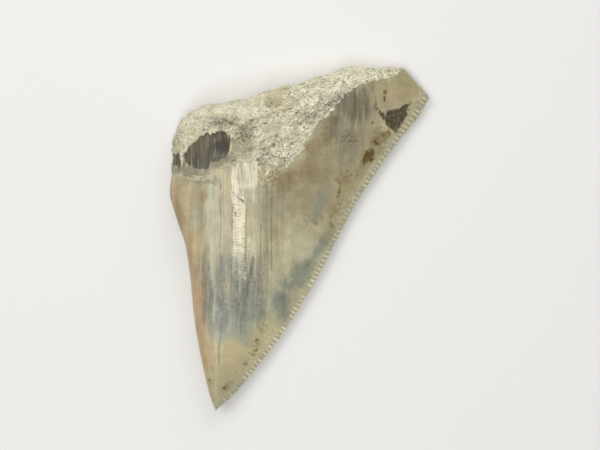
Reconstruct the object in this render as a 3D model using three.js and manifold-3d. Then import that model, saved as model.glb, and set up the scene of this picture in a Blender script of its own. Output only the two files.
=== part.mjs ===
// A fossil shark tooth with a broken root, lying on its flatter face with the rounded face up.
// Millimetres. The crown's tip points along -Y, the broken root along +Y and the rounded face along +Z.
// The tooth is one solid: rings of points swept from the tip to the break, pores cut into the exposed
// root, ridges on the floor of its dark patch and a row of serrations fused to the long cutting edge.
import * as THREE from "three";
import { ImprovedNoise } from "three/addons/math/ImprovedNoise.js";
import { mergeVertices } from "three/addons/utils/BufferGeometryUtils.js";
import Module from "manifold-3d";

// Outline seen from above. The cutting edge and the worn side both start at the tip and
// have one point for each station, so that a station's two points are the ends of one section.
const CUTTING_EDGE = [
  [-13.1, -26.8], [-10.3, -24.3], [-7.2, -20.8], [-3.6, -16.3], [-0.2, -11.3], [3.0, -5.8],
  [6.1, 0.2], [8.7, 5.2], [11.6, 9.7], [14.8, 14.2], [17.8, 18.7], [19.8, 22.0],
];
const WORN_SIDE = [
  [-13.1, -26.8], [-14.15, -24.3], [-15.1, -20.5], [-15.95, -16.0], [-16.6, -11.0], [-17.1, -6.0],
  [-17.95, -1.0], [-19.3, 3.2], [-20.3, 6.6], [-20.1, 10.0], [-19.9, 14.0], [-19.0, 17.3],
  [-17.6, 19.0],
];
const CORNER_BREAK_END = [16.4, 26.2];
const BROKEN_TOP = [
  [-17.3, 19.8], [-12.3, 21.2], [-7.5, 21.9], [-2.8, 23.4], [2.0, 24.4], [6.7, 26.4], [11.5, 26.6],
  [16.2, 26.8],
];
// Where the enamel stops and the porous root begins on the rounded face.
const ENAMEL_MARGIN = [
  [-19.8, 9.3], [-14.1, 8.9], [-9.3, 11.6], [-6.4, 11.5], [-5.4, 8.0], [-2.4, 9.9], [0.4, 11.8],
  [1.6, 15.2], [4.6, 19.4], [9.0, 23.3], [16.6, 26.4],
];
const BACK_MARGIN_Y = 15.0;

const CREST_RISE = 7.1;
const CREST_GROWTH = 0.72;
const SEAM_TIP = 2.4;
const SEAM_CUTTING_EDGE = 1.5;
const SEAM_WORN_SIDE = 3.0;
const EDGE_HALF_THICKNESS = 0.12;
const CORNER_HALF_THICKNESS = 1.4;
const WEDGE_POWER = 1.1;
const ROUND_POWER = 0.55;
const TIP_LIFT_SHARE = 0.32;
const TIP_SHARE = 0.02;
const UNDER_WEDGE_SHARE = 0.38;
const UNDER_ROUND_SHARE = 0.2;

const BREAK_DEPTH_ENDS = 0.6;
const BREAK_DEPTH_MIDDLE = 3.2;
const BOW_START = 0.7;

const BOSS = { x: -5.5, y: 15.5, radiusX: 9.0, radiusY: 5.5, height: 0.3 };
const DARK_PATCH = { x: -14.6, y: 13.5, radiusX: 4.6, radiusY: 2.4, turn: 0.24, depth: 0.4 };

const LUMP_SIZE = 1.8;
const LUMP_HEIGHT = 0.85;
const FINE_LUMP_SIZE = 0.8;
const FINE_LUMP_HEIGHT = 0.42;
const ROOT_STEP = 0.25;
const MARGIN_SOFTNESS = 0.7;
const PATCH_RIDGES = 7;
const PATCH_RIDGE_SPACING = 0.95;
const PATCH_RIDGE_HALF_LENGTH = 1.7;
const PATCH_RIDGE_HALF_WIDTH = 0.26;

const SERRATIONS = 72;
const SERRATION_REACH = 0.34;
const SERRATION_ROOT = 0.95;
const SERRATION_HALF_HEIGHT = 0.42;
const SERRATION_WIDTH_SHARE = 0.48;
const SERRATION_GROWTH = 0.1;

const PORES = 34;
const PORE_RADIUS = 0.55;
const PORE_RADIUS_SPREAD = 0.3;
const PORE_FIELD = { left: -0.85, right: 0.45, low: 0.84, high: 1 };
const WALL_START = 0.96;
const BARE_ROOT = 0.75;
const GOLDEN_SHARE = 0.618;
const GOLDEN_ANGLE = 2.4;
const LEVEL_HEIGHT = 1e-3;
const ABOVE_ALL = 50;

const CROWN_RINGS = 26;
const ROOT_RINGS = 19;
const ROOT_START = 0.72;
const CAP_RINGS = 6;
const ACROSS = 22;
const LEFT_CROWDING = 1.25;

const toCurve = (points) => new THREE.SplineCurve(points.map(([x, y]) => new THREE.Vector2(x, y)));
const cuttingEdge = toCurve(CUTTING_EDGE);
const wornSide = toCurve(WORN_SIDE);
const brokenTop = toCurve(BROKEN_TOP);
const cornerEnd = new THREE.Vector2(...CORNER_BREAK_END);
const SHOULDER = (CUTTING_EDGE.length - 1) / (WORN_SIDE.length - 1);

const { lerp, smoothstep } = THREE.MathUtils;
const noise = new ImprovedNoise();

// The right end of a section: on the cutting edge up to the shoulder, then on the corner break.
function rightEnd(s) {
  if (s <= SHOULDER) return cuttingEdge.getPoint(s / SHOULDER);
  return cuttingEdge.getPoint(1).lerp(cornerEnd, (s - SHOULDER) / (1 - SHOULDER));
}

// Height of the enamel margin at x, level beyond its two ends.
function marginHeight(x) {
  const next = ENAMEL_MARGIN.findIndex(([px]) => px > x);
  if (next === 0) return ENAMEL_MARGIN[0][1];
  if (next === -1) return ENAMEL_MARGIN.at(-1)[1];
  const [x0, y0] = ENAMEL_MARGIN[next - 1];
  const [x1, y1] = ENAMEL_MARGIN[next];
  return lerp(y0, y1, (x - x0) / (x1 - x0));
}

const breakDepth = (w) => BREAK_DEPTH_ENDS + BREAK_DEPTH_MIDDLE * (1 - w * w);

// Place in plan: s runs from the tip (0) to the break (1), w from the worn side (-1) to the cutting edge (1).
function planPoint(s, w) {
  const share = (1 + w) / 2;
  const point = wornSide.getPoint(s).lerp(rightEnd(s), share);
  const atBreak = brokenTop.getPoint(share);
  atBreak.y -= breakDepth(w);
  const chord = wornSide.getPoint(1).lerp(cornerEnd, share);
  return point.add(atBreak.sub(chord).multiplyScalar(smoothstep(s, BOW_START, 1)));
}

// The rounded face over one section: a wedge at the cutting edge and a round shoulder at the worn side.
function crestProfile(w) {
  const crest = (ROUND_POWER - WEDGE_POWER) / (ROUND_POWER + WEDGE_POWER);
  const shape = (v) => (1 - v) ** WEDGE_POWER * (1 + v) ** ROUND_POWER;
  return shape(w) / shape(crest);
}

const easeOut = (t) => 1 - (1 - Math.min(t, 1)) ** 2;
const quarterRound = (t) => Math.sqrt(easeOut(t));

function seamHeight(s, w) {
  const settled = easeOut(s / TIP_LIFT_SHARE);
  const base = lerp(SEAM_WORN_SIDE, SEAM_CUTTING_EDGE, (1 + w) / 2);
  return lerp(SEAM_TIP, base, settled);
}

// The cutting edge is thin, and the corner break cuts further into the wedge the nearer it is to the top.
function edgeHalfThickness(s) {
  const intoCorner = Math.max(0, (s - SHOULDER) / (1 - SHOULDER));
  return lerp(EDGE_HALF_THICKNESS, CORNER_HALF_THICKNESS, intoCorner) * easeOut(s / TIP_SHARE);
}

function upperHeight(s, w) {
  return seamHeight(s, w) + edgeHalfThickness(s) + CREST_RISE * s ** CREST_GROWTH * crestProfile(w);
}

// The flatter face is level in the middle and rises to the seam at both sides and at the tip.
function lowerHeight(s, w) {
  const flat = easeOut((1 - w) / UNDER_WEDGE_SHARE) * quarterRound((1 + w) / UNDER_ROUND_SHARE);
  return (seamHeight(s, w) - edgeHalfThickness(s)) * (1 - flat * easeOut(s / TIP_LIFT_SHARE));
}

function surfacePoint(s, w, upper, turn) {
  const { x, y } = planPoint(s, w);
  const height = upper ? upperHeight(s, w) : lowerHeight(s, w);
  const seam = seamHeight(s, w);
  return new THREE.Vector3(x, y + breakDepth(w) * Math.sin(turn), lerp(seam, height, Math.cos(turn)));
}

// How much of the porous root a point is on: 0 on enamel, 1 well inside the root.
function rootShare(point, facesDown) {
  const margin = facesDown ? BACK_MARGIN_Y : marginHeight(point.x);
  return smoothstep(point.y - margin, -MARGIN_SOFTNESS / 2, MARGIN_SOFTNESS / 2);
}

function hillShare(hill, point) {
  const turned = new THREE.Vector2(point.x - hill.x, point.y - hill.y);
  turned.rotateAround(new THREE.Vector2(), -(hill.turn ?? 0));
  return Math.exp(-((turned.x / hill.radiusX) ** 2) - (turned.y / hill.radiusY) ** 2);
}

function noiseAt(point, size) {
  return noise.noise(point.x / size, point.y / size, point.z / size);
}

function lumps(point) {
  return LUMP_HEIGHT * noiseAt(point, LUMP_SIZE) + FINE_LUMP_HEIGHT * noiseAt(point, FINE_LUMP_SIZE);
}

// Drops the triangles that merging has flattened to a line or a point.
function withoutSlivers(geometry) {
  const kept = [];
  const index = geometry.index.array;
  for (let i = 0; i < index.length; i += 3) {
    const [a, b, c] = index.slice(i, i + 3);
    if (a !== b && b !== c && c !== a) kept.push(a, b, c);
  }
  return geometry.setIndex(kept);
}

// Rings stand closer together on the rough root than on the smooth crown.
function ringShare(row) {
  if (row <= CROWN_RINGS) return (ROOT_START * row) / CROWN_RINGS;
  return lerp(ROOT_START, 1, (row - CROWN_RINGS) / ROOT_RINGS);
}

// A sheet of cells bent round the tooth: its columns go over the top and back underneath, and its rows
// are the rings. The first ring closes at the tip, and the last one closes on the seam of the break.
function bodyGeometry() {
  const columns = 2 * ACROSS + 3;
  const rings = CROWN_RINGS + ROOT_RINGS;
  const rows = rings + CAP_RINGS;
  const sheet = new THREE.PlaneGeometry(1, 1, columns - 1, rows);
  const position = sheet.getAttribute("position");
  for (let row = 0; row <= rows; row++) {
    const s = ringShare(Math.min(row, rings));
    const turn = (Math.PI / 2) * Math.max(0, (row - rings) / CAP_RINGS);
    for (let column = 0; column < columns; column++) {
      const upper = column <= ACROSS || column === columns - 1;
      const step = upper ? column % (columns - 1) : columns - 2 - column;
      const w = -1 + 2 * (1 - step / ACROSS) ** LEFT_CROWDING;
      const point = surfacePoint(s, w, upper, turn);
      position.setXYZ(row * columns + column, point.x, point.y, point.z);
    }
  }
  sheet.deleteAttribute("normal");
  sheet.deleteAttribute("uv");
  return withoutSlivers(mergeVertices(sheet, 1e-4));
}

// Raises the root's boss, sinks the dark patch and roughens the root along the surface's own normals.
function withRelief(geometry) {
  geometry.computeVertexNormals();
  const position = geometry.getAttribute("position");
  const normals = geometry.getAttribute("normal");
  for (let i = 0; i < position.count; i++) {
    const point = new THREE.Vector3().fromBufferAttribute(position, i);
    const normal = new THREE.Vector3().fromBufferAttribute(normals, i);
    if (point.z < LEVEL_HEIGHT) continue;
    const root = rootShare(point, normal.z < 0);
    const onTop = Math.max(0, normal.z);
    const patch = hillShare(DARK_PATCH, point) * onTop;
    const relief = BOSS.height * hillShare(BOSS, point) * onTop - DARK_PATCH.depth * patch;
    const roughness = (ROOT_STEP + lumps(point)) * root * (1 - patch);
    point.addScaledVector(normal, relief + roughness);
    position.setXYZ(i, point.x, point.y, Math.max(point.z, 0));
  }
  geometry.deleteAttribute("normal");
  return geometry;
}

const wasm = await Module();
wasm.setup();

// A closed solid from a geometry whose equal points are first made one.
function toSolid(geometry) {
  geometry.deleteAttribute("normal");
  geometry.deleteAttribute("uv");
  const welded = mergeVertices(geometry, 1e-4);
  return new wasm.Manifold(
    new wasm.Mesh({
      numProp: 3,
      vertProperties: new Float32Array(welded.getAttribute("position").array),
      triVerts: new Uint32Array(welded.index.array),
    }),
  );
}

// One serration: a blunt faceted grain that is long across the cutting edge.
function serration(index) {
  const share = (index + 0.5) / SERRATIONS;
  const along = share ** (1 + SERRATION_GROWTH);
  const middle = cuttingEdge.getPointAt(along);
  const tangent = cuttingEdge.getTangentAt(along);
  const outward = new THREE.Vector2(tangent.y, -tangent.x);
  const pitch = (cuttingEdge.getLength() / SERRATIONS) * (1 + SERRATION_GROWTH) * share ** SERRATION_GROWTH;
  const reach = (SERRATION_REACH + SERRATION_ROOT) / 2;
  const centre = middle.addScaledVector(outward, SERRATION_REACH - reach);
  const s = cuttingEdge.getUtoTmapping(along) * SHOULDER;
  const grain = new THREE.OctahedronGeometry(1, 0);
  grain.scale(reach, pitch * SERRATION_WIDTH_SHARE, SERRATION_HALF_HEIGHT);
  grain.rotateZ(outward.angle());
  grain.translate(centre.x, centre.y, seamHeight(s, 1));
  return toSolid(grain);
}

// The point of the body that is seen from straight above x, y.
function topPoint(body, x, y) {
  const downward = new THREE.Raycaster(new THREE.Vector3(x, y, ABOVE_ALL), new THREE.Vector3(0, 0, -1));
  return downward.intersectObject(body)[0].point;
}

// Values between 0 and 1 that stay evenly spread however many are taken.
const spread = (index, step) => (index * step) % 1;

// One pore in the broken root, cut where the root is bare.
function pore(body, index) {
  const w = lerp(PORE_FIELD.left, PORE_FIELD.right, spread(index, GOLDEN_SHARE));
  const s = lerp(PORE_FIELD.low, PORE_FIELD.high, (index + 0.5) / PORES);
  const { x, y } = planPoint(s, w);
  const downTheBreak = s > WALL_START ? breakDepth(w) * spread(index, GOLDEN_SHARE ** 2) : 0;
  const centre = topPoint(body, x, y + downTheBreak);
  if (rootShare(centre, false) * (1 - hillShare(DARK_PATCH, centre)) < BARE_ROOT) return null;
  const radius = PORE_RADIUS * (1 + PORE_RADIUS_SPREAD * (2 * spread(index, GOLDEN_SHARE ** 3) - 1));
  const hollow = new THREE.OctahedronGeometry(radius, 0);
  hollow.rotateX(index);
  hollow.rotateZ(GOLDEN_ANGLE * index);
  hollow.translate(centre.x, centre.y, centre.z);
  return toSolid(hollow);
}

// One of the upright ridges on the floor of the dark patch.
function patchRidge(body, index) {
  const across = (index - (PATCH_RIDGES - 1) / 2) * PATCH_RIDGE_SPACING;
  const x = DARK_PATCH.x + across * Math.cos(DARK_PATCH.turn);
  const y = DARK_PATCH.y + across * Math.sin(DARK_PATCH.turn);
  const low = topPoint(body, x, y - PATCH_RIDGE_HALF_LENGTH);
  const high = topPoint(body, x, y + PATCH_RIDGE_HALF_LENGTH);
  const ridge = new THREE.OctahedronGeometry(1, 0);
  ridge.scale(PATCH_RIDGE_HALF_WIDTH, low.distanceTo(high) / 2, PATCH_RIDGE_HALF_WIDTH);
  ridge.rotateX(Math.asin((high.z - low.z) / low.distanceTo(high)));
  const middle = low.lerp(high, 0.5);
  ridge.translate(middle.x, middle.y, middle.z);
  return toSolid(ridge);
}

const many = (count, make) => Array.from({ length: count }, (_, index) => make(index)).filter(Boolean);

function toothSolid() {
  const relief = withRelief(bodyGeometry());
  const body = new THREE.Mesh(relief);
  const serrations = many(SERRATIONS, serration);
  const ridges = many(PATCH_RIDGES, (index) => patchRidge(body, index));
  const pores = many(PORES, (index) => pore(body, index));
  const joined = wasm.Manifold.union([toSolid(relief), ...serrations, ...ridges]);
  return wasm.Manifold.difference([joined, ...pores]);
}

function toothGeometry() {
  const mesh = toothSolid().getMesh();
  const geometry = new THREE.BufferGeometry();
  geometry.setAttribute("position", new THREE.BufferAttribute(mesh.vertProperties, 3));
  geometry.setIndex(new THREE.BufferAttribute(mesh.triVerts, 1));
  geometry.computeBoundingBox();
  const middle = geometry.boundingBox.getCenter(new THREE.Vector3());
  return geometry.translate(-middle.x, -middle.y, -geometry.boundingBox.min.z);
}

const enamelAndRoot = new THREE.MeshStandardMaterial({
  color: 0xb4ab87,
  roughness: 0.5,
  metalness: 0,
  flatShading: true,
});

const tooth = new THREE.Mesh(toothGeometry(), enamelAndRoot);
tooth.name = "tooth";

const part = new THREE.Group();
part.add(tooth);

export default part;
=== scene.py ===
# A fossil shark tooth with a broken root, lying with its rounded face up.
import itertools
import math

import bpy
import numpy as np
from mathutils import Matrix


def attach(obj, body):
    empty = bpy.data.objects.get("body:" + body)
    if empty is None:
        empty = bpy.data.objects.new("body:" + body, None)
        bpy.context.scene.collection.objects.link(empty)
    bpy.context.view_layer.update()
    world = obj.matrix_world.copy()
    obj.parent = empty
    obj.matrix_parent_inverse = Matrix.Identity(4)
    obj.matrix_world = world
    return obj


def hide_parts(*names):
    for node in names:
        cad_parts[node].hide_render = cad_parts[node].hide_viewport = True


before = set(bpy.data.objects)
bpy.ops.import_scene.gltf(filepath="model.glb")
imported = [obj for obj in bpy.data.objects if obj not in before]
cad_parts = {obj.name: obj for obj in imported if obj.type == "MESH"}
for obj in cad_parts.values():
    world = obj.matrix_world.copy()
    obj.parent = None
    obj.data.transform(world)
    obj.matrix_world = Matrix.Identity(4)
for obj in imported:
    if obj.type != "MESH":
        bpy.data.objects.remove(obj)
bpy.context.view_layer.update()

MM = 0.001
# A distance in millimetres, further than any fine line reaches
FAR_AWAY = 9.0

# Large odd numbers that scramble the cells of the noise, and the bits that are kept
CELL_FACTORS = (374761393, 668265263, 2147483629)
SEED_FACTOR = 974634777
MIXING_FACTOR = 1274126177
BITS_32 = 0xFFFFFFFF
BITS_16 = 0xFFFF

# Outline seen from above, in millimetres, with the tip towards -Y. The cutting edge and the worn side
# start at the tip and have one point for each station.
CUTTING_EDGE = (
    (-13.05, -27.0), (-10.25, -24.5), (-7.15, -20.85), (-3.6, -16.35), (-0.2, -11.3), (3.0, -5.8),
    (6.1, 0.2), (8.7, 5.2), (11.6, 9.7), (14.8, 14.2), (17.9, 18.6), (20.1, 21.8),
)
WORN_SIDE = (
    (-13.05, -27.0), (-14.0, -24.3), (-14.9, -20.5), (-15.8, -16.0), (-16.5, -11.0), (-16.95, -6.0),
    (-17.8, -1.0), (-19.15, 3.2), (-20.1, 6.6), (-19.8, 10.0), (-19.5, 14.0), (-18.6, 17.2),
    (-17.4, 18.6),
)
CORNER_BREAK_END = (16.5, 26.1)
BROKEN_TOP = (
    (-17.2, 19.1), (-14.2, 20.3), (-11.2, 20.8), (-8.1, 21.3), (-5.0, 22.3), (-2.0, 23.3),
    (1.1, 24.05), (4.1, 25.0), (7.2, 26.15), (10.3, 26.3), (13.4, 26.35), (16.5, 26.4),
)
# Share of the way to the break where the cutting edge ends and the corner break begins
SHOULDER = (len(CUTTING_EDGE) - 1) / (len(WORN_SIDE) - 1)

# Section heights in millimetres, and the powers and shares that shape the section
CREST_RISE = 7.1
CREST_GROWTH = 0.72
SEAM_TIP = 2.4
SEAM_CUTTING_EDGE = 1.5
SEAM_WORN_SIDE = 3.0
EDGE_HALF_THICKNESS = 0.12
CORNER_HALF_THICKNESS = 1.4
WEDGE_POWER = 1.1
ROUND_POWER = 0.55
TIP_LIFT_SHARE = 0.32
TIP_SHARE = 0.02
UNDER_WEDGE_SHARE = 0.38
UNDER_ROUND_SHARE = 0.2
BREAK_DEPTH_ENDS = 0.3
BREAK_DEPTH_MIDDLE = 3.2
BOW_START = 0.7

# Mesh fineness in millimetres, the steps round the break, and how many points the line along the cutting
# edge and the search for even rings have
EDGE_STEP = 0.14
RIB_ZONE = 1.3
RIB_STEP = 0.1
ACROSS_STEP = 0.18
UNDER_STEP = 0.6
CAP_STEPS = 26
CAP_LAST_TURN = math.radians(84)
EDGE_LINE_POINTS = 400
RING_SAMPLES = 4000

# Serrations
SERRATIONS = 82
SERRATION_GROWTH = 0.05
SERRATION_REACH = 0.27
SERRATION_FOOT = 0.6
SERRATION_UNEVENNESS = 0.2
LEAST_SERRATION = 0.45
RIB_LENGTH = 0.6
RIB_DEPTH = 0.09

# Root and dark patch: where the enamel ends on the face, and the rims of the patch and of a chip beside it
ENAMEL_MARGIN = (
    (-21.0, 9.4), (-18.9, 9.6), (-17.5, 9.3), (-15.7, 8.9), (-14.2, 9.2), (-13.3, 10.2), (-10.5, 11.4),
    (-6.4, 11.8), (-6.2, 10.0), (-6.0, 8.2), (-5.5, 7.7), (-4.8, 8.4), (-3.6, 8.9), (-3.0, 10.2),
    (-1.4, 11.5), (-0.2, 12.5), (0.7, 13.6), (1.5, 15.2), (2.3, 16.8), (3.2, 18.1), (4.5, 18.8),
    (5.6, 20.2), (6.5, 21.3), (7.8, 22.3), (9.0, 23.5), (10.8, 23.8), (12.8, 24.6), (15.1, 24.9),
    (15.8, 25.8), (16.6, 29.0),
)
BACK_MARGIN_Y = 15.0
BACK_MARGIN_SWING = 1.2
BACK_MARGIN_STRETCH = 5
DARK_PATCH = (
    (-17.9, 12.6), (-16.7, 14.3), (-15.6, 15.4), (-14.2, 15.9), (-12.7, 16.1), (-11.2, 16.0),
    (-10.8, 15.0), (-10.95, 13.2), (-11.3, 12.3), (-12.2, 11.9), (-13.5, 11.5), (-13.9, 10.6),
    (-15.3, 10.5), (-16.6, 10.9), (-17.6, 11.6),
)
DARK_CHIP = ((-19.9, 12.7), (-18.7, 12.9), (-18.1, 12.0), (-18.1, 11.1), (-19.0, 10.9), (-19.9, 11.4))

# Relief of the root and the patch, in millimetres; the boss is a broad swelling with x, y and half sizes
ROOT_STEP = 0.25
BOSS = (-5.5, 15.5, 9.0, 5.5)
BOSS_HEIGHT = 0.3
FIBRE_TURN = 38
FIBRE_HEIGHT = 0.05
CREVICE_DEPTH = 0.1
PORE_DEPTH = 0.22
PORE_SPACING = 1.6
LARGEST_PORE = 0.6
PATCH_DEPTH = 0.1

# Layers of noise: height or reach, size of the lumps, seed
ROOT_LUMPS = ((0.34, 2.4, 11), (0.16, 1.0, 12), (0.08, 0.5, 13), (0.05, 0.3, 14))
PATCH_GROOVES = ((0.06, (0.42, 9, 9), 21),)
ENAMEL_WAVES = ((0.03, (1.1, 14, 14), 22), (0.012, (0.45, 9, 9), 23))
RAGGED_MARGIN = ((0.3, 0.9, 31), (0.25, 0.42, 32))
TORN_PATCH = ((0.4, (0.38, 9, 9), 41), (0.15, (0.3, 0.8, 0.8), 42))
STRAND_SIDES = ((0.14, (0.5, 1.4, 1.0), 61), (0.12, (0.6, 0.3, 0.6), 63))
STRAND_ENDS = ((0.9, (0.35, 3, 3), 62), (0.5, (0.25, 0.8, 0.8), 64))

# Fine lines: veins on the patch's floor, cream lines along the ledge below it, and cracks in the enamel
PATCH_VEINS = (
    ((-13.0, 15.2), (-12.95, 13.4), (-13.1, 12.4), (-13.6, 11.4)),
    ((-16.7, 14.2), (-16.75, 12.6), (-16.6, 11.0)),
    ((-15.6, 12.4), (-15.6, 10.8)),
    ((-14.0, 15.8), (-14.05, 14.0)),
    ((-17.9, 13.8), (-17.8, 11.6)),
)
CREAM_LINES = (
    ((-14.2, 9.25), (-13.4, 10.2), (-12.2, 10.7), (-10.6, 11.4)),
    ((-19.2, 9.8), (-18.0, 9.45), (-17.0, 9.15), (-16.1, 8.9), (-15.2, 8.8), (-14.2, 9.05), (-13.7, 9.5)),
    ((-16.7, 9.6), (-15.7, 9.25), (-14.8, 9.2), (-14.1, 9.55)),
)
HAIRLINES = (
    ((-8.2, 5.1), (-8.2, 2.6), (-8.3, -0.4), (-8.25, -3.8)),
    ((-8.2, 4.6), (-8.25, -2.4)),
    ((-14.0, 8.7), (-12.8, 8.1)),
    ((-10.4, 7.1), (-9.7, 6.4), (-9.0, 5.8), (-8.3, 5.1)),
    ((-4.2, 6.2), (-4.3, 1.0), (-4.25, -5.3)),
    ((-12.1, 8.6), (-12.2, 6.0), (-12.15, 1.0), (-12.25, -1.6)),
    ((-12.0, -12.4), (-12.2, -15.8), (-12.6, -19.9)),
    ((-5.9, 2.0), (-6.0, -5.0)),
    ((-10.35, 4.0), (-10.3, -1.5)),
    ((8.8, 22.4), (8.7, 20.6), (8.9, 18.8)),
    ((9.9, 23.0), (10.4, 22.0), (10.7, 20.8)),
    ((11.3, 23.3), (11.75, 22.3), (11.9, 21.0)),
)
# Painted highlight along the crest, as bright strands: left, right, low and high end, strength
CREST_HIGHLIGHT_STRANDS = (
    (-10.25, -8.25, -0.6, 6.8, 1.0), (-10.3, -8.25, -3.2, -0.3, 0.74), (-10.45, -9.3, 5.2, 11.7, 1.0),
    (-8.5, -6.4, 9.8, 12.2, 1.0), (-8.0, -6.4, 7.4, 10.2, 1.0), (-7.6, -6.6, 5.4, 7.8, 0.66),
    (-9.5, -8.6, 6.4, 8.6, 0.9), (-9.4, -8.0, 7.2, 12.0, 0.56), (-10.3, -8.2, -6.2, -2.6, 0.46),
    (-8.1, -6.7, -3.2, 1.0, 0.44),
)

# Rims of colour zones: sizes of the two noises that fray them, how far, and how soft they are
FRAYED = {
    "cloud": ((1.4, 1.4, 1.4), (0.5, 0.5, 0.5), 0.45, 0.6),
    "streak": ((0.5, 4.5, 4.5), (0.25, 1.6, 1.6), 0.6, 0.6),
}
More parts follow.
